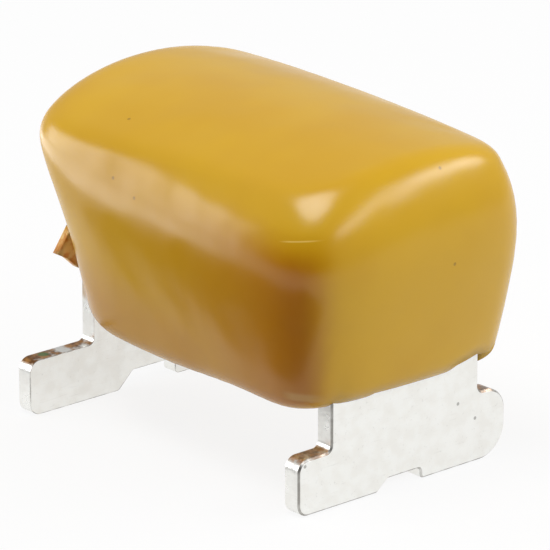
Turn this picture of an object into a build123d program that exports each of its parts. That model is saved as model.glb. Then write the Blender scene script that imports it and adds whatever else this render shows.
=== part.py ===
from build123d import *
from math import asin, cos, degrees, hypot, pi, sin
import os

# Surface-mount transient voltage suppressor diode, in millimetres, +Z up.
# A row of silicon dice and copper spacers is soldered face to face between two upright leads of
# plated copper sheet, and the row and the tops of the leads are dipped in epoxy.
# X runs along the row, from the narrow lead to the wide lead; X = 0 is midway between the leads'
# outer faces. Y = 0 is the middle of the notches in the feet. Z = 0 is the plane of the solder
# lands, where the lower edges of the feet stand.

# ---------------------------------------------------------------- leads
lead_span = 12.57            # outer face to outer face
lead_thickness = 0.62
stem_end_drop = 0.20         # the stems end this far below the dice's upper edge

wide_stem_width = 6.00
wide_toe_front = 1.31        # the foot reaches this far past the stem towards -Y
wide_toe_back = 1.14         # and towards +Y
wide_shoulder_front = 1.80   # height of the front toe
wide_shoulder_back = 2.22    # and of the back toe
wide_notch_width = 1.75
wide_notch_depth = 0.36
wide_back_upper_corner = 0.80
wide_back_lower_corner = 1.00

narrow_stem_width = 4.80
narrow_toe_front = 2.59
narrow_toe_back = 2.11
narrow_shoulder = 1.80
narrow_notch_width = 2.35
narrow_notch_depth = 0.56

toe_corner = 0.38            # outer corners of a cleanly stamped toe
inner_corner = 0.22          # between stem and toe
notch_corner = 0.14
notch_slope = 0.50           # run of the sloping side of a notch, as a share of half its width
stem_end_corner = 0.60
die_roll = 0.06              # bevel that the punch leaves around a lead's outer face

# ---------------------------------------------------------------- row of dice
die_count = 8
die_thickness = 0.30
die_width = 5.60             # along Y
die_height = 4.40            # along Z
solder_thickness = 0.06
solder_margin = 0.30         # solder stops this far inside the die's edge
spacer_margin = 0.18         # copper stops this far inside the die's edge
end_spacer_thickness = 1.20  # smaller copper block between the narrow lead and the first die
end_spacer_margin = 0.60
row_centre_y = 0.24
row_drop = 0.725             # the row's centre lies this far below the coating's middle

# ---------------------------------------------------------------- epoxy coating
coat_underside = 3.05        # between the leads
coat_top = 10.70             # highest point of the crown
coat_shift_y = 0.12          # the coating hangs a little off the row's centre
crown_centre_x = -3.4
crown_centre_y = 1.00
crown_radius_x = 105.0       # the top's curve along the row
crown_radius_y = 10.80        # and across it
top_round = 1.00
shoulder_height = 3.70       # the walls lean in from this far below the crown's highest point
shoulder_inset = 3.00        # and the front wall has come in by this much at that point's height
shoulder_power = 2.3
narrow_front_share = 0.30    # the front wall leans in by this share of that at the narrow lead
back_shoulder_share = 0.30   # and the back and the wide end's wall by these shares
wide_shoulder_share = 0.42
underside_round = 0.60

# The coating drained towards the top while the part hung upside down to cure, so its walls thicken
# upwards, and over the narrow lead a lobe stands above a necked-in sheath. One row for each level:
# level, as a share of the coating's height; wall beside the dice at the narrow lead and at the wide
# lead; wall over the narrow lead and over the wide lead; slanting cut of the two corners beside the
# narrow lead, of the wide lead's back corner and of its front corner.
coat_levels = [
    (-0.10, 0.98, 1.28, 0.08, 0.26, 1.88, 0.60, 0.70),
    (0.06, 1.14, 1.48, 0.10, 0.40, 1.74, 0.56, 0.76),
    (0.22, 1.32, 1.69, 0.15, 0.60, 1.54, 0.52, 0.88),
    (0.38, 1.50, 1.84, 0.21, 0.79, 1.30, 0.50, 1.03),
    (0.54, 1.69, 1.93, 0.41, 0.91, 1.04, 0.50, 1.16),
    (0.70, 1.91, 1.97, 0.76, 0.94, 0.82, 0.54, 1.24),
    (0.86, 2.07, 1.97, 1.08, 0.90, 0.70, 0.64, 1.22),
    (1.02, 2.14, 1.96, 1.20, 0.84, 0.66, 0.74, 1.16),
]
corner_cut_slant = 1.15      # how much longer a narrow-end cut is along X than along Y
outline_sharpness = 12       # power that draws the level outlines into their corners
outline_points = 48
trim_reach = 3.0             # the blocks that trim the coating reach this far past it

# Lower edge of the coating, seen from the front: (X from the lead's outer face, height above the
# underside), from beyond the narrow lead to the middle, and from there past the wide lead.
underside_at_narrow_end = [(-3.00, 2.60), (0.00, 1.20), (1.50, 0.10), (3.60, -0.16), (6.00, -0.17)]
underside_at_wide_end = [(-2.90, -0.03), (-1.30, -0.05), (0.00, 0.16), (3.00, 0.60)]

# The rim that the coating leaves on the wide lead's outer face is ragged: (Y, height above the
# underside), from front to back.
ragged_rim = [
    (-2.20, 0.15), (-1.75, 0.08), (-1.25, 0.33), (1.65, 0.19), (2.00, 0.44), (2.85, 0.60),
    (3.20, 0.52), (3.55, 0.46), (4.15, 0.80),
]

# A flake of coating stands broken off the sheath beside the narrow lead's stem.
flake_thickness = 0.26
flake_root = 0.09            # its inner face lies this far behind the lead's outer face
flake_outline = [(0.30, 2.75), (-0.42, 2.62), (-0.98, 1.82), (-0.62, 1.62), (-0.16, 1.20), (0.30, 1.50)]

# ---------------------------------------------------------------- sizes that follow
wide_face_x = lead_span / 2                    # outer face of the wide lead
narrow_face_x = -lead_span / 2                 # outer face of the narrow lead
row_length = lead_span - 2 * lead_thickness
coat_height = coat_top - coat_underside
row_centre_z = coat_underside + coat_height / 2 - row_drop
lead_top = row_centre_z + die_height / 2 - stem_end_drop
joint_count = 2 * die_count + 1                # both faces of each die, and the narrow lead
spacer_count = die_count - 1
spacer_thickness = (
    row_length - end_spacer_thickness - die_count * die_thickness - joint_count * solder_thickness
) / spacer_count
die_front_y = row_centre_y - die_width / 2
die_back_y = row_centre_y + die_width / 2


def nearest(vertices, x, y):
    """The vertex of a flat sketch that lies nearest to a point."""
    return min(vertices, key=lambda v: (v.X - x) ** 2 + (v.Y - y) ** 2)


def lead_blank(stem_width, toe_front, toe_back, shoulder_front, shoulder_back,
               notch_width, notch_depth, back_upper_corner, back_lower_corner):
    """Flat lead as stamped, Y across and Z up: an upside-down T with a notch under its foot."""
    stem_front = row_centre_y - stem_width / 2
    stem_back = row_centre_y + stem_width / 2
    foot_front = stem_front - toe_front
    foot_back = stem_back + toe_back
    half_notch = notch_width / 2
    slope_end = -half_notch * (1 - notch_slope)
    outline = [
        (stem_front, lead_top), (stem_front, shoulder_front),
        (foot_front, shoulder_front), (foot_front, 0),
        (-half_notch, 0), (slope_end, notch_depth), (half_notch, notch_depth), (half_notch, 0),
        (foot_back, 0), (foot_back, shoulder_back),
        (stem_back, shoulder_back), (stem_back, lead_top),
    ]
    rounds = [
        (stem_end_corner, (0, 11)),
        (inner_corner, (1, 10)),
        (toe_corner, (2, 3)),
        (notch_corner, (4, 5, 6, 7)),
        (back_lower_corner, (8,)),
        (back_upper_corner, (9,)),
    ]
    with BuildSketch() as blank:
        with BuildLine():
            Polyline(*outline, close=True)
        make_face()
        for radius, corners in rounds:
            fillet([nearest(blank.vertices(), *outline[i]) for i in corners], radius)
    return blank.sketch


def upright_lead(blank, outer_x, outward):
    """Stand a blank up across X with its outer face at outer_x, its edges turned by the punch."""
    lead = extrude(Plane.YZ.offset(outer_x) * blank, -outward * lead_thickness)
    outer_face = lead.faces().filter_by(Axis.X).sort_by(Axis.X)[-1 if outward > 0 else 0]
    return chamfer(outer_face.edges(), die_roll)


def row_slab(start_x, thickness, margin):
    """One rectangular layer of the row, set inside the die's edge by a margin."""
    size_y = die_width - 2 * margin
    size_z = die_height - 2 * margin
    layer = Plane.YZ.offset(start_x) * Pos(row_centre_y, row_centre_z) * Rectangle(size_y, size_z)
    return extrude(layer, thickness)


def row_layers():
    """All layers between the leads, in order along X, by node name."""
    end_solder_margin = end_spacer_margin + solder_margin - spacer_margin
    order = [("solder_layer_01", solder_thickness, end_solder_margin),
             ("end_spacer", end_spacer_thickness, end_spacer_margin),
             ("solder_layer_02", solder_thickness, end_solder_margin)]
    for die in range(1, die_count + 1):
        order.append((f"silicon_die_{die}", die_thickness, 0))
        order.append((f"solder_layer_{2 * die + 1:02d}", solder_thickness, solder_margin))
        if die <= spacer_count:
            order.append((f"copper_spacer_{die}", spacer_thickness, spacer_margin))
            order.append((f"solder_layer_{2 * die + 2:02d}", solder_thickness, solder_margin))
    layers = {}
    x = narrow_face_x + lead_thickness
    for name, thickness, margin in order:
        layers[name] = row_slab(x, thickness, margin)
        x += thickness
    return layers


def smooth_outline(corners, centre_y):
    """Smooth closed curve inside a polygon: a power of the distances to its sides sets how sharp the
    curve turns at the corners."""
    sides = []
    for (ax, ay), (bx, by) in zip(corners, corners[1:] + corners[:1]):
        length = hypot(bx - ax, by - ay)
        nx = (by - ay) / length
        ny = (ax - bx) / length
        sides.append((nx, ny, ax * nx + (ay - centre_y) * ny))
    points = []
    for step in range(outline_points):
        turn = 2 * pi * step / outline_points
        ux = cos(turn)
        uy = sin(turn)
        pull = sum(max(0, (nx * ux + ny * uy) / distance) ** outline_sharpness
                   for nx, ny, distance in sides)
        radius = pull ** (-1 / outline_sharpness)
        points.append((radius * ux, centre_y + radius * uy))
    return Spline(*points, periodic=True)


def coat_section(share, narrow_side_wall, wide_side_wall, narrow_wall, wide_wall,
                 narrow_cut, wide_back_cut, wide_front_cut):
    """Level outline of the coating."""
    lean = max(0, 1 - (1 - share) * coat_height / shoulder_height)
    inset = shoulder_inset * lean ** shoulder_power
    x0 = narrow_face_x - narrow_wall
    x1 = wide_face_x + wide_wall - inset * wide_shoulder_share
    cut_x0 = x0 + narrow_cut * corner_cut_slant
    front = die_front_y + coat_shift_y
    back = die_back_y + coat_shift_y - inset * back_shoulder_share
    front0 = front + inset * narrow_front_share - narrow_side_wall
    front1 = front + inset - wide_side_wall
    back0 = back + narrow_side_wall
    back1 = back + wide_side_wall
    corners = [(x0, front0 + narrow_cut), (cut_x0, front0),
               (x1 - wide_front_cut, front1), (x1, front1 + wide_front_cut),
               (x1, back1 - wide_back_cut), (x1 - wide_back_cut, back1),
               (cut_x0, back0), (x0, back0 - narrow_cut)]
    outline = smooth_outline(corners, (front0 + front1 + back0 + back1) / 4)
    return Pos(0, 0, coat_underside + share * coat_height) * make_face(outline)


def crown_block():
    """Solid under the coating's doubly curved top: a shallow arch turned about a low axis."""
    half_span_y = die_width + crown_centre_y
    foot_z = coat_underside - trim_reach
    arch_drop = crown_radius_y - (crown_radius_y ** 2 - half_span_y ** 2) ** 0.5
    edge_z = coat_top - arch_drop
    turn = 2 * degrees(asin(lead_span / crown_radius_x))    # enough to pass both ends of the coating
    arch = ThreePointArc((-half_span_y, edge_z), (0, coat_top), (half_span_y, edge_z))
    sides = Polyline((half_span_y, edge_z), (half_span_y, foot_z), (-half_span_y, foot_z),
                     (-half_span_y, edge_z))
    profile = Plane.YZ.offset(crown_centre_x) * Pos(crown_centre_y, 0) * make_face([arch, sides])
    axis = Axis((crown_centre_x, 0, coat_top - crown_radius_x), (0, 1, 0))
    return revolve(profile.rotate(axis, -turn / 2), axis, revolution_arc=turn)


def underside_block():
    """Space below the coating: its lower edge waves along the row and lifts at the narrow lead."""
    bottom = coat_underside - trim_reach
    points = [(narrow_face_x + x, coat_underside + z) for x, z in underside_at_narrow_end]
    points += [(wide_face_x + x, coat_underside + z) for x, z in underside_at_wide_end]
    (first_x, first_z), (last_x, last_z) = points[0], points[-1]
    sides = Polyline((last_x, last_z), (last_x, bottom), (first_x, bottom), (first_x, first_z))
    space = Plane.XZ.offset(-die_width) * make_face([Spline(*points), sides])
    return extrude(space, 2 * die_width)


def ragged_block():
    """Space below the ragged rim, outside the wide lead's outer face."""
    bottom = coat_underside - trim_reach
    points = [(y, coat_underside + z) for y, z in ragged_rim]
    (first_y, first_z), (last_y, last_z) = points[0], points[-1]
    points += [(last_y + trim_reach, last_z + trim_reach), (last_y + trim_reach, bottom),
               (first_y - trim_reach, bottom), (first_y - trim_reach, first_z)]
    space = Plane.YZ.offset(wide_face_x) * make_face(Polyline(*points, close=True))
    return extrude(space, trim_reach)


def flake():
    """Thin broken piece that is still attached beside the narrow lead's stem."""
    stem_front = row_centre_y - narrow_stem_width / 2
    outline = [(stem_front + y, coat_underside + z) for y, z in flake_outline]
    shape = Plane.YZ.offset(narrow_face_x + flake_root) * make_face(Polyline(*outline, close=True))
    return extrude(shape, -flake_thickness)


def coating_body():
    """Outer form of the coating, without the space for what it holds."""
    body = loft([coat_section(*level) for level in coat_levels]) - underside_block()
    underside = body.faces().sort_by(Axis.Z)[0]
    body = fillet(underside.edges(), underside_round) & crown_block()
    crown = body.faces().sort_by(Axis.Z)[-1]
    body = fillet(crown.edges(), top_round)
    return body - ragged_block() + flake()


wide_lead = upright_lead(
    lead_blank(wide_stem_width, wide_toe_front, wide_toe_back,
               wide_shoulder_front, wide_shoulder_back, wide_notch_width, wide_notch_depth,
               wide_back_upper_corner, wide_back_lower_corner),
    wide_face_x, 1)
narrow_lead = upright_lead(
    lead_blank(narrow_stem_width, narrow_toe_front, narrow_toe_back,
               narrow_shoulder, narrow_shoulder, narrow_notch_width, narrow_notch_depth,
               toe_corner, toe_corner),
    narrow_face_x, -1)
nodes = {"wide_lead": wide_lead, "narrow_lead": narrow_lead, **row_layers()}

body = coating_body()
nodes["epoxy_coating"] = body - list(nodes.values())

os.makedirs("parts", exist_ok=True)
for name, solid in nodes.items():
    export_step(solid, f"parts/{name}.step")
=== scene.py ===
import math

import bpy
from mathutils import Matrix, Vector


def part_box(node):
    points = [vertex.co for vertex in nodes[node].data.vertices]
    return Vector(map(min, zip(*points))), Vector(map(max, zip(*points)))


# Surface-mount transient voltage suppressor diode: golden dipped epoxy on two silver-plated leads.
# The narrow lead stands at -X and the wide one at +X, the front wall faces -Y, and Z is up.

MM = 0.001

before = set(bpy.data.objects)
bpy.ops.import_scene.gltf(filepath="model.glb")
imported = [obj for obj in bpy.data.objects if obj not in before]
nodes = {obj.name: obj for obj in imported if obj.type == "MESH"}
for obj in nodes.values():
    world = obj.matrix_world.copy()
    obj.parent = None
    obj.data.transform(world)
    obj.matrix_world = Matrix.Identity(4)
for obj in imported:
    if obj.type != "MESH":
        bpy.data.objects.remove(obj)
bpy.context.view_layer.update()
coat_low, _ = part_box("epoxy_coating")

# ---------------------------------------------------------------- camera
CAMERA_LENS = 327.3          # millimetres, as the sensor's width
CAMERA_SENSOR = 36.0
CAMERA_CLIP = (1 * MM, 10.0)
CAMERA_DISTANCE = 155.9 * MM
CAMERA_AZIMUTH = -41.12      # degrees from +X
CAMERA_ELEVATION = 19.29
AIM = Vector((-0.95, 1.31, 4.56)) * MM      # what the camera and the softboxes point at

# ---------------------------------------------------------------- surroundings
ROOM_LEVEL = 0.46            # even light from all round
ROOM_MIRRORED = 0.50         # what the object mirrors of the room
FLAG_LEVEL = 0.06            # both, where a black flag stands in front of the object
FLAG_AZIMUTH = 290.0
FLAG_ELEVATION = -5.0
FLAG_SPREAD = (0.30, 0.85)   # cosines of the angles off its middle where it starts and is full
FLOOR_HALF = 1.5             # metres from its middle to its sides
FLOOR_COLOUR = (0.62, 0.62, 0.62, 1.0)
FLOOR_GLOW = 1.06            # strength of the glow that the camera sees
FLOOR_GLOW_SHARE = 0.82      # how much of the floor it sees is glow; the rest takes the shadow
FLOOR_MIRRORED = 1.00        # what the leads and the coating mirror of the floor
CARD_MIRRORED = 0.02         # and of a dark card that lies on it in front of the object
CARD_X = (-17.0 * MM, 18.0 * MM)
CARD_Y = (-27.0 * MM, -8.9 * MM)
CARD_SOFT = 0.7 * MM
REFLECTOR_HEIGHT = 0.5 * MM  # of the low reflector above the floor


def srgb(red, green, blue):
    """Linear colour for three 0-255 display values."""
    def linear(value):
        v = value / 255
        return v / 12.92 if v <= 0.04045 else ((v + 0.055) / 1.055) ** 2.4
    return (linear(red), linear(green), linear(blue), 1.0)


WHITE = (1.0, 1.0, 1.0, 1.0)
MIDDLE = (0.35, 0.65)        # most of what a noise texture gives lies between these

# ---------------------------------------------------------------- the coating's looks
# Places and radii of marks are in millimetres. Two numbers together are a range: where a share
# starts and where it is full, from where to where a mark reaches, or the least and the most. Those
# of a bump are its strength and its height.
RESIN_PALE = srgb(216, 168, 14)
RESIN_FULL = srgb(210, 160, 10)
RESIN_IOR = 1.52
RESIN_ROUGHNESS = (0.20, 0.25)
RESIN_ROUNDING = 0.65 * MM
RESIN_SWELL = (0.05, 1.0 * MM)
RESIN_GRAIN = (0.03, 0.05 * MM)

FRONT_SHADE_COLOUR = srgb(177, 110, 4)     # painted shade on the front wall, told by its normal
FRONT_SHADE_NORMAL_Y = (-0.25, -0.88)
FRONT_SHADE_NORMAL_Z = (0.70, 0.12)
FRONT_SHADE_X = (-7.0, 5.8)                # growing towards the near corner
FRONT_SHADE_Z = (6.6, 3.8)                 # and, up to a share, towards the lower rim
FRONT_SHADE_RIM_SHARE = 0.5

SPECK_COLOUR = srgb(112, 72, 18)
SPECK_SCALE = 0.42                  # cells to a millimetre, with a speck in each
SPECK_CORE = 0.022                  # how far from its middle it is full, in cells
SPECK_EDGE = 0.040                  # and how far it reaches
SPECK_SHARE = 0.6
PLACED_SPECK_RADIUS = 0.055
PLACED_SPECK_SHARE = 0.5
PLACED_SPECKS = [(-3.05, -2.79, 10.01), (-2.18, -4.15, 8.62), (-1.12, -4.20, 8.25),
                 (7.17, 1.35, 7.04), (6.44, 1.38, 9.87)]

CORNER_X = (5.35, 6.15)             # the painted highlight line and the smear are on the near corner
CORNER_X_SOFT = 0.22
CORNER_Y = (-2.8, -3.1)
HIGHLIGHT_LINE_COLOUR = srgb(246, 214, 120)   # a thin painted highlight line, rising towards +X
HIGHLIGHT_LINE_SHARE = 0.75
HIGHLIGHT_LINE_SLOPE = 0.13
HIGHLIGHT_LINE_LEVEL = (7.735, 7.765)
HIGHLIGHT_LINE_SOFT = 0.02
SMEAR_COLOUR = srgb(214, 184, 118)  # a smear of clear resin above the wide lead
SMEAR_SHARE = 0.35
SMEAR_Z = (3.46, 3.70)
SMEAR_SOFT = 0.07

FLAKE_LIGHTENED_PALE = srgb(250, 204, 122)    # the broken flake beside the narrow lead: paler resin, lightened further as painted light
FLAKE_LIGHTENED_DARK = srgb(232, 152, 48)
FLAKE_X = (-5.9, -6.1)
FLAKE_Y = (-3.6, -1.95)
FLAKE_Y_SOFT = 0.05
FLAKE_Z = (4.0, 5.6)
FLAKE_Z_SOFT = 0.25
FLAKE_ROUGHNESS = 0.45

# ---------------------------------------------------------------- the leads' looks
PLATE_PALE = srgb(253, 253, 249)
PLATE_GREY = srgb(249, 248, 243)
PLATE_METALLIC = 0.92
PLATE_ROUGHNESS = (0.27, 0.39)
PLATE_WEAR = (0.1, 0.8)
BARE_WEAR = 0.3                     # bare copper is rougher than the plate
SHEARED_SHINE = 0.2                 # and a sheared edge is smoother
PLATE_DENT = (0.08, 0.20 * MM)
PIT_COLOUR = srgb(186, 184, 178)
PIT_SHARE = 0.28
PIT_STRENGTH = 0.14
PIT_STRENGTH_SHEARED = 0.30
PIT_HEIGHT = 0.04 * MM
SCRATCH_COLOUR = srgb(190, 188, 183)
SCRATCH_SHARE = 0.20
SCRATCH_TURN = (math.radians(24), 0.0, 0.0)
SCRATCH_SQUEEZE = (1.0, 0.7, 13.0)
SHEARED_NORMAL_X = (0.35, 0.15)     # the sheet's sheared edges, told by their normal
ROLLED_NORMAL_X = (0.45, 0.90)      # and the edges that the punch rolled
ROLLED_SOFT = 0.08
ROLLED_COLOUR = srgb(118, 112, 104)
ROLLED_SHARE = 0.72

COPPER_PALE = srgb(196, 142, 82)    # bare copper on the feet's upper edges
COPPER_DARK = srgb(120, 80, 42)
COPPER_NORMAL_Z = (0.55, 0.80)
COPPER_Z = (3.2, 2.8)
WIDE_LEAD_COPPER = 0.75
NARROW_LEAD_COPPER = 1.0

NICK_COLOUR = srgb(120, 116, 110)   # nicks in the wide lead's face
NICK_SHARE = 0.6
NICK_RADIUS = 0.055
NICKS = [(6.28, -3.82, 1.61), (6.28, 2.39, 2.06), (6.28, 3.11, 1.42)]

FILM_COLOUR = srgb(206, 160, 92)    # a brown film on the narrow lead's edge, below the coating
FILM_SHARE = 0.6
FILM_NORMAL_Y = (-0.6, -0.9)
FILM_Z = (3.25, 3.85)
FILM_SOFT = 0.15
EDGE_LINE_COLOUR = srgb(104, 98, 90)     # dark lines along the narrow lead's edges
EDGE_LINE_WIDTH = 0.09 * MM
EDGE_LINE_TURN = (0.97, 0.80)            # cosines of how far an edge's rounding turns the normal
GREEN_COLOUR = srgb(78, 134, 70)    # a fleck of verdigris on the narrow lead's shoulder
GREEN_SHARE = 0.8
GREEN_RADIUS = 0.20
GREEN_SPOTS = [(-6.0, -3.95, 1.90)]

# ---------------------------------------------------------------- the hidden pieces' looks
COPPER_COLOUR = srgb(200, 120, 80)
SILICON_COLOUR = srgb(70, 72, 80)
SOLDER_COLOUR = srgb(170, 172, 176)
DARKENED = 0.85


# ---------------------------------------------------------------- node trees
class Nodes:
    """A short way to write a node tree: calls make nodes and join their sockets."""

    def __init__(self, tree):
        self.tree = tree

    def feed(self, socket, value):
        if isinstance(value, bpy.types.NodeSocket):
            self.tree.links.new(value, socket)
        else:
            socket.default_value = value

    def add(self, kind, settings=None, **inputs):
        node = self.tree.nodes.new(kind)
        for key, value in (settings or {}).items():
            setattr(node, key, value)
        for key, value in inputs.items():
            self.feed(node.inputs[key], value)
        return node

    def math(self, operation, *values):
        node = self.add("ShaderNodeMath", {"operation": operation})
        for socket, value in zip(node.inputs, values):
            self.feed(socket, value)
        return node.outputs[0]

    def product(self, first, *others):
        for other in others:
            first = self.math("MULTIPLY", first, other)
        return first

    def measure(self, operation, first, second):
        """A number from two vectors: their DISTANCE or their DOT_PRODUCT."""
        node = self.add("ShaderNodeVectorMath", {"operation": operation})
        self.feed(node.inputs[0], first)
        self.feed(node.inputs[1], second)
        return node.outputs["Value"]

    def mix(self, share, first, second):
        """A mix of two colours. Its sockets go by number, as the ones for colours share names."""
        node = self.add("ShaderNodeMix", {"data_type": "RGBA"})
        for index, value in ((0, share), (6, first), (7, second)):
            self.feed(node.inputs[index], value)
        return node.outputs[2]

    def remap(self, value, low, high, to_low=0.0, to_high=1.0, smooth=True):
        kind = "SMOOTHSTEP" if smooth else "LINEAR"
        node = self.add("ShaderNodeMapRange", {"interpolation_type": kind})
        for socket, number in zip(node.inputs, (value, low, high, to_low, to_high)):
            self.feed(socket, number)
        return node.outputs[0]

    def blend(self, share, first, second):
        """The first number where a share is 0 and the second where it is 1."""
        return self.remap(share, 0.0, 1.0, first, second, smooth=False)

    def between(self, value, low, high, soft):
        """1 where a value lies between two limits, with soft ends."""
        return self.product(self.remap(value, low - soft, low + soft),
                            self.remap(value, high + soft, high - soft))

    def noise(self, vector, scale, detail=2.0, roughness=0.5):
        node = self.add("ShaderNodeTexNoise", Vector=vector, Scale=scale, Detail=detail,
                        Roughness=roughness)
        return node.outputs["Fac"]

    def bump(self, height, strength, distance, normal=None):
        node = self.add("ShaderNodeBump", Height=height, Strength=strength, Distance=distance)
        if normal is not None:
            self.feed(node.inputs["Normal"], normal)
        return node.outputs[0]

    def rounded_normal(self, radius, samples):
        return self.add("ShaderNodeBevel", {"samples": samples}, Radius=radius).outputs[0]

    def normal(self):
        return self.tree.nodes.new("ShaderNodeNewGeometry").outputs["Normal"]

    def coordinates(self, kind):
        return self.tree.nodes.new("ShaderNodeTexCoord").outputs[kind]

    def ray(self, kind):
        """1 for the rays of a kind and 0 for the others."""
        return self.tree.nodes.new("ShaderNodeLightPath").outputs[kind]

    def parts(self, vector):
        """X, Y and Z of a vector."""
        return self.add("ShaderNodeSeparateXYZ", Vector=vector).outputs

    def place(self):
        """Place on the object, in millimetres."""
        scaled = self.add("ShaderNodeVectorMath", {"operation": "SCALE"},
                          Vector=self.coordinates("Object"), Scale=1 / MM)
        return scaled.outputs[0]

    def marks(self, place, spots, radius):
        """1 on small round marks at some places."""
        found = 0.0
        for spot in spots:
            away = self.measure("DISTANCE", place, spot)
            found = self.math("MAXIMUM", self.remap(away, radius * 1.3, radius * 0.7), found)
        return found


# ---------------------------------------------------------------- materials
def new_material(name):
    """A material, its node tree and the inputs of its shader."""
    material = bpy.data.materials.new(name)
    material.use_nodes = True
    tree = material.node_tree
    tree.nodes.clear()
    output = tree.nodes.new("ShaderNodeOutputMaterial")
    shader = tree.nodes.new("ShaderNodeBsdfPrincipled")
    tree.links.new(shader.outputs[0], output.inputs[0])
    return material, Nodes(tree), shader.inputs


def resin_colour_and_shade(n, place, spot):
    """Gold, with painted shade on the front wall that grows towards the near corner and the lower
    rim.
    """
    facing = n.parts(n.normal())
    broad = n.noise(place, scale=0.22)
    gold = n.mix(n.remap(broad, *MIDDLE), RESIN_PALE, RESIN_FULL)
    # painted shade: the front wall, facing -Y, is darkened
    front = n.product(n.remap(facing["Y"], *FRONT_SHADE_NORMAL_Y), n.remap(facing["Z"], *FRONT_SHADE_NORMAL_Z))
    along = n.math("POWER", n.remap(spot["X"], *FRONT_SHADE_X, smooth=False), 2.0)
    low = n.remap(spot["Z"], *FRONT_SHADE_Z, 0.0, FRONT_SHADE_RIM_SHARE)
    return n.mix(n.product(front, n.math("MAXIMUM", along, low)), gold, FRONT_SHADE_COLOUR)


def mark_resin(n, place, spot, colour):
    """Dark specks, and on the near corner a thin painted highlight line and a faint smear."""
    cells = n.add("ShaderNodeTexVoronoi", {"feature": "F1"}, Vector=place, Scale=SPECK_SCALE)
    spread = n.remap(cells.outputs["Distance"], SPECK_CORE, SPECK_EDGE, SPECK_SHARE, 0.0)
    placed = n.product(n.marks(place, PLACED_SPECKS, PLACED_SPECK_RADIUS), PLACED_SPECK_SHARE)
    colour = n.mix(n.math("MAXIMUM", spread, placed), colour, SPECK_COLOUR)
    corner = n.product(n.between(spot["X"], *CORNER_X, CORNER_X_SOFT),
                       n.remap(spot["Y"], *CORNER_Y))
    # a painted highlight along a thin line, rising towards +X
    level = n.math("SUBTRACT", spot["Z"], n.product(spot["X"], HIGHLIGHT_LINE_SLOPE))
    line = n.product(corner, n.between(level, *HIGHLIGHT_LINE_LEVEL, HIGHLIGHT_LINE_SOFT))
    colour = n.mix(n.product(line, HIGHLIGHT_LINE_SHARE), colour, HIGHLIGHT_LINE_COLOUR)
    smear = n.product(corner, n.between(spot["Z"], *SMEAR_Z, SMEAR_SOFT))
    return n.mix(n.product(smear, SMEAR_SHARE), colour, SMEAR_COLOUR)


def epoxy_material():
    """Golden resin, faintly wavy, with a broken flake beside the narrow lead: paler resin,
    lightened further as painted light.
    """
    material, n, inputs = new_material("golden_epoxy")
    place = n.place()
    spot = n.parts(place)
    flake = n.product(n.between(spot["Y"], *FLAKE_Y, FLAKE_Y_SOFT),
                      n.between(spot["Z"], *FLAKE_Z, FLAKE_Z_SOFT), n.remap(spot["X"], *FLAKE_X))
    crumb = n.remap(n.noise(place, scale=3.5, detail=3.0), 0.42, 0.62)
    colour = mark_resin(n, place, spot, resin_colour_and_shade(n, place, spot))
    # the flake: paler resin, with painted light where it faces away from the lamps
    colour = n.mix(flake, colour, n.mix(crumb, FLAKE_LIGHTENED_PALE, FLAKE_LIGHTENED_DARK))
    smooth = n.remap(n.noise(place, scale=0.8, detail=3.0), 0.3, 0.7, *RESIN_ROUGHNESS)
    rounded = n.rounded_normal(RESIN_ROUNDING, samples=12)
    swell = n.bump(n.noise(place, scale=0.50, detail=1.0), *RESIN_SWELL, rounded)
    grain = n.bump(n.noise(place, scale=3.2, detail=3.0), *RESIN_GRAIN, swell)
    n.feed(inputs["Base Color"], colour)
    n.feed(inputs["Roughness"], n.math("MAXIMUM", smooth, n.product(flake, FLAKE_ROUGHNESS)))
    n.feed(inputs["Normal"], grain)
    inputs["IOR"].default_value = RESIN_IOR
    return material


def plate_colour(n, place, facing_x, cloud, pits):
    """Mottled, pitted and scratched silver, dark where the punch rolled the edges."""
    turned = n.add("ShaderNodeMapping", Vector=place, Rotation=SCRATCH_TURN,
                   Scale=SCRATCH_SQUEEZE).outputs[0]
    scratches = n.remap(n.noise(turned, scale=1.7, detail=4.0, roughness=0.7), 0.60, 0.72)
    rolled = n.product(n.between(facing_x, *ROLLED_NORMAL_X, ROLLED_SOFT),
                       n.remap(n.noise(place, scale=2.2), 0.30, 0.55, 0.45, 1.0))
    colour = n.mix(n.remap(cloud, *MIDDLE), PLATE_PALE, PLATE_GREY)
    colour = n.mix(n.product(n.remap(pits, 0.60, 0.75), PIT_SHARE), colour, PIT_COLOUR)
    colour = n.mix(n.product(scratches, SCRATCH_SHARE), colour, SCRATCH_COLOUR)
    return n.mix(n.product(rolled, ROLLED_SHARE), colour, ROLLED_COLOUR)


def nick_plate(n, place, colour):
    nicks = n.marks(place, NICKS, NICK_RADIUS)
    return n.mix(n.product(nicks, NICK_SHARE), colour, NICK_COLOUR)


def age_plate(n, place, spot, facing, sheared, colour):
    """A brown film below the coating, dark lines along the edges and a green fleck."""
    film = n.product(sheared, n.remap(facing["Y"], *FILM_NORMAL_Y),
                     n.between(spot["Z"], *FILM_Z, FILM_SOFT))
    colour = n.mix(n.product(film, FILM_SHARE), colour, FILM_COLOUR)
    turn = n.measure("DOT_PRODUCT", n.rounded_normal(EDGE_LINE_WIDTH, samples=8), n.normal())
    edge_line = n.product(n.remap(turn, *EDGE_LINE_TURN),
                     n.remap(n.noise(place, scale=2.6, detail=3.0), 0.35, 0.60, 0.25, 0.85))
    colour = n.mix(edge_line, colour, EDGE_LINE_COLOUR)
    green = n.marks(place, GREEN_SPOTS, GREEN_RADIUS)
    return n.mix(n.product(green, GREEN_SHARE), colour, GREEN_COLOUR)


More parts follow.
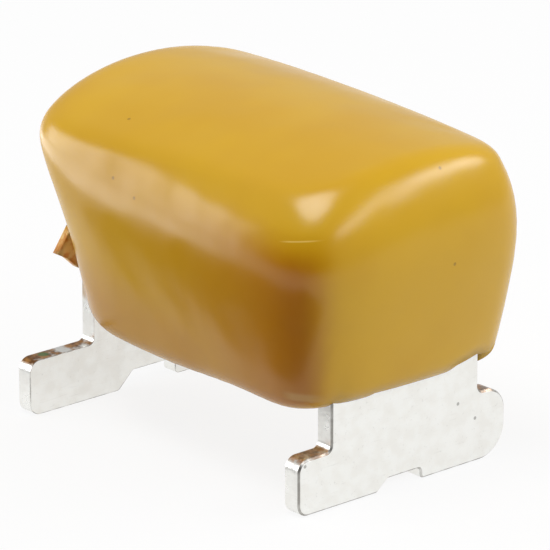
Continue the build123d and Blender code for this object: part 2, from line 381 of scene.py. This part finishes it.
def plated_material(name, copper_share, aged):
    """Silver plate on sheared copper, which shows through on the upper edges of the feet."""
    material, n, inputs = new_material(name)
    place = n.place()
    spot = n.parts(place)
    facing = n.parts(n.normal())
    facing_x = n.math("ABSOLUTE", facing["X"])
    cloud = n.noise(place, scale=2.2, detail=3.0)
    pits = n.noise(place, scale=9.0, detail=4.0, roughness=0.65)
    sheared = n.remap(facing_x, *SHEARED_NORMAL_X)
    streaks = n.remap(n.noise(place, scale=1.9, detail=4.0, roughness=0.6), 0.36, 0.56)
    bare = n.product(n.remap(facing["Z"], *COPPER_NORMAL_Z), n.remap(spot["Z"], *COPPER_Z),
                     streaks, copper_share)
    tarnish = n.remap(n.noise(place, scale=4.2, detail=3.0), *MIDDLE)
    colour = n.mix(bare, plate_colour(n, place, facing_x, cloud, pits),
                   n.mix(tarnish, COPPER_PALE, COPPER_DARK))
    if aged:
        colour = age_plate(n, place, spot, facing, sheared, colour)
    else:
        colour = nick_plate(n, place, colour)
    wear = n.math("SUBTRACT", n.product(bare, BARE_WEAR), n.product(sheared, SHEARED_SHINE))
    dents = n.bump(n.noise(place, scale=2.4), *PLATE_DENT)
    pit_strength = n.blend(sheared, PIT_STRENGTH, PIT_STRENGTH_SHEARED)
    n.feed(inputs["Base Color"], colour)
    n.feed(inputs["Roughness"],
           n.remap(n.math("ADD", cloud, wear), *PLATE_WEAR, *PLATE_ROUGHNESS))
    n.feed(inputs["Normal"], n.bump(pits, pit_strength, PIT_HEIGHT, dents))
    inputs["Metallic"].default_value = PLATE_METALLIC
    return material


def plain_material(name, colour, metallic, roughness):
    material, n, inputs = new_material(name)
    darker = tuple(c * DARKENED for c in colour[:3]) + (1.0,)
    cloud = n.noise(n.place(), scale=3.0, detail=3.0)
    n.feed(inputs["Base Color"], n.mix(cloud, colour, darker))
    inputs["Metallic"].default_value = metallic
    inputs["Roughness"].default_value = roughness
    return material


def dress_nodes():
    """Give each CAD node the material of its kind, told by how its name starts."""
    epoxy = epoxy_material()
    wide_plate = plated_material("silver_plate_wide", WIDE_LEAD_COPPER, aged=False)
    narrow_plate = plated_material("silver_plate_narrow", NARROW_LEAD_COPPER, aged=True)
    copper = plain_material("copper", COPPER_COLOUR, metallic=1.0, roughness=0.35)
    silicon = plain_material("silicon", SILICON_COLOUR, metallic=0.4, roughness=0.3)
    solder = plain_material("solder", SOLDER_COLOUR, metallic=1.0, roughness=0.45)
    kinds = {"epoxy_coating": epoxy, "wide_lead": wide_plate, "narrow_lead": narrow_plate,
             "copper_spacer": copper, "end_spacer": copper, "silicon_die": silicon,
             "solder_layer": solder}
    for name, node in nodes.items():
        material = next(kinds[kind] for kind in kinds if name.startswith(kind))
        node.data.materials.clear()
        node.data.materials.append(material)


# ---------------------------------------------------------------- camera and lamps
def direction(azimuth, elevation):
    """Unit vector towards an azimuth from +X and an elevation, in degrees."""
    a = math.radians(azimuth)
    e = math.radians(elevation)
    return Vector((math.cos(a) * math.cos(e), math.sin(a) * math.cos(e), math.sin(e)))


def stand(thing, azimuth, elevation, distance):
    """Stand a camera or a lamp at a distance from the aim, pointing at it."""
    towards = direction(azimuth, elevation)
    thing.location = AIM + towards * distance
    thing.rotation_euler = towards.to_track_quat("Z", "Y").to_euler()
    bpy.context.scene.collection.objects.link(thing)


def add_camera():
    camera = bpy.data.objects.new("camera", bpy.data.cameras.new("camera"))
    camera.data.lens = CAMERA_LENS
    camera.data.sensor_width = CAMERA_SENSOR
    camera.data.clip_start, camera.data.clip_end = CAMERA_CLIP
    stand(camera, CAMERA_AZIMUTH, CAMERA_ELEVATION, CAMERA_DISTANCE)
    bpy.context.scene.camera = camera


def new_lamp(name, shape, width, height, energy):
    lamp = bpy.data.objects.new(name, bpy.data.lights.new(name, "AREA"))
    lamp.data.shape = shape
    lamp.data.size = width
    lamp.data.size_y = height
    lamp.data.energy = energy
    return lamp


def add_softbox(name, azimuth, elevation, distance, width, height, level, shape="RECTANGLE"):
    """A softbox that lights the object at a level, where 1 shows a colour about as written."""
    lamp = new_lamp(name, shape, width, height, energy=level * (math.pi * distance) ** 2)
    stand(lamp, azimuth, elevation, distance)


def add_low_reflector(name, azimuth, near, width, depth, brightness):
    """A pale panel that lies beside the object, facing up, with its right side along an azimuth
    from the object. It lights the coating alone, and the camera doesn't see it."""
    lamp = new_lamp(name, "RECTANGLE", width, depth, energy=brightness * math.pi * width * depth)
    outwards = direction(azimuth, 0.0) * (near + depth / 2)
    sideways = direction(azimuth - 90.0, 0.0) * (width / 2)
    lamp.location = outwards + sideways + Vector((0.0, coat_low.y, REFLECTOR_HEIGHT))
    lamp.rotation_euler = (math.pi, 0.0, math.radians(azimuth - 90.0))
    lamp.visible_camera = False
    lit = bpy.data.collections.new(name + "_lights")
    lit.objects.link(nodes["epoxy_coating"])
    lamp.light_linking.receiver_collection = lit
    bpy.context.scene.collection.objects.link(lamp)


# ---------------------------------------------------------------- room and floor
def shown_ray(n):
    """1 for the rays that show the surroundings, 0 for the rays that light the object."""
    return n.math("MAXIMUM", n.ray("Is Camera Ray"), n.ray("Is Transmission Ray"))


def add_world():
    """White for the camera. It lights the object evenly, but for a black flag in front of it."""
    world = bpy.data.worlds.new("studio")
    world.use_nodes = True
    tree = world.node_tree
    tree.nodes.clear()
    n = Nodes(tree)
    cosine = n.measure("DOT_PRODUCT", n.coordinates("Generated"),
                       direction(FLAG_AZIMUTH, FLAG_ELEVATION))
    room = n.blend(n.ray("Is Glossy Ray"), ROOM_LEVEL, ROOM_MIRRORED)
    flagged = n.blend(n.remap(cosine, *FLAG_SPREAD), room, FLAG_LEVEL)
    background = n.add("ShaderNodeBackground", Color=WHITE,
                       Strength=n.blend(shown_ray(n), flagged, 1.0))
    output = tree.nodes.new("ShaderNodeOutputWorld")
    tree.links.new(background.outputs[0], output.inputs[0])
    bpy.context.scene.world = world


def floor_material():
    """White with the object's shadow for the camera, bright with a dark card on it where the object
    mirrors it, and grey where it lights the object."""
    material = bpy.data.materials.new("pale_floor")
    material.use_nodes = True
    tree = material.node_tree
    tree.nodes.clear()
    n = Nodes(tree)
    spot = n.parts(n.coordinates("Object"))
    glossy = n.ray("Is Glossy Ray")
    card = n.product(n.between(spot["X"], *CARD_X, CARD_SOFT),
                     n.between(spot["Y"], *CARD_Y, CARD_SOFT))
    mirrored = n.blend(card, FLOOR_MIRRORED, CARD_MIRRORED)
    glow_share = n.blend(n.product(card, glossy), FLOOR_GLOW_SHARE, 1.0)
    glowing = n.math("MAXIMUM", shown_ray(n), glossy)
    diffuse = n.add("ShaderNodeBsdfDiffuse", Color=FLOOR_COLOUR)
    glow = n.add("ShaderNodeEmission", Color=WHITE, Strength=n.blend(glossy, FLOOR_GLOW, mirrored))
    mixed = n.add("ShaderNodeMixShader", Fac=n.product(glowing, glow_share))
    tree.links.new(diffuse.outputs[0], mixed.inputs[1])
    tree.links.new(glow.outputs[0], mixed.inputs[2])
    output = tree.nodes.new("ShaderNodeOutputMaterial")
    tree.links.new(mixed.outputs[0], output.inputs[0])
    return material


def add_floor():
    mesh = bpy.data.meshes.new("floor")
    corners = [(-FLOOR_HALF, -FLOOR_HALF, 0), (FLOOR_HALF, -FLOOR_HALF, 0),
               (FLOOR_HALF, FLOOR_HALF, 0), (-FLOOR_HALF, FLOOR_HALF, 0)]
    mesh.from_pydata(corners, [], [(0, 1, 2, 3)])
    mesh.materials.append(floor_material())
    floor = bpy.data.objects.new("floor", mesh)
    bpy.context.scene.collection.objects.link(floor)


def light_studio():
    add_world()
    add_floor()
    add_softbox("left_softbox", azimuth=213.0, elevation=11.5, distance=200 * MM,
                width=104 * MM, height=90 * MM, level=0.29)
    add_low_reflector("left_reflector", azimuth=224.0, near=22 * MM,
                      width=44 * MM, depth=170 * MM, brightness=2.6)
    add_softbox("right_softbox", azimuth=56.0, elevation=33.0, distance=200 * MM,
                width=140 * MM, height=40 * MM, level=0.29)
    add_softbox("corner_softbox", azimuth=262.0, elevation=73.0, distance=220 * MM,
                width=132 * MM, height=104 * MM, level=0.44, shape="ELLIPSE")
    add_softbox("right_strip", azimuth=8.0, elevation=41.0, distance=200 * MM,
                width=130 * MM, height=36 * MM, level=0.17)


dress_nodes()
add_camera()
light_studio()
bpy.context.scene.view_settings.view_transform = "Standard"
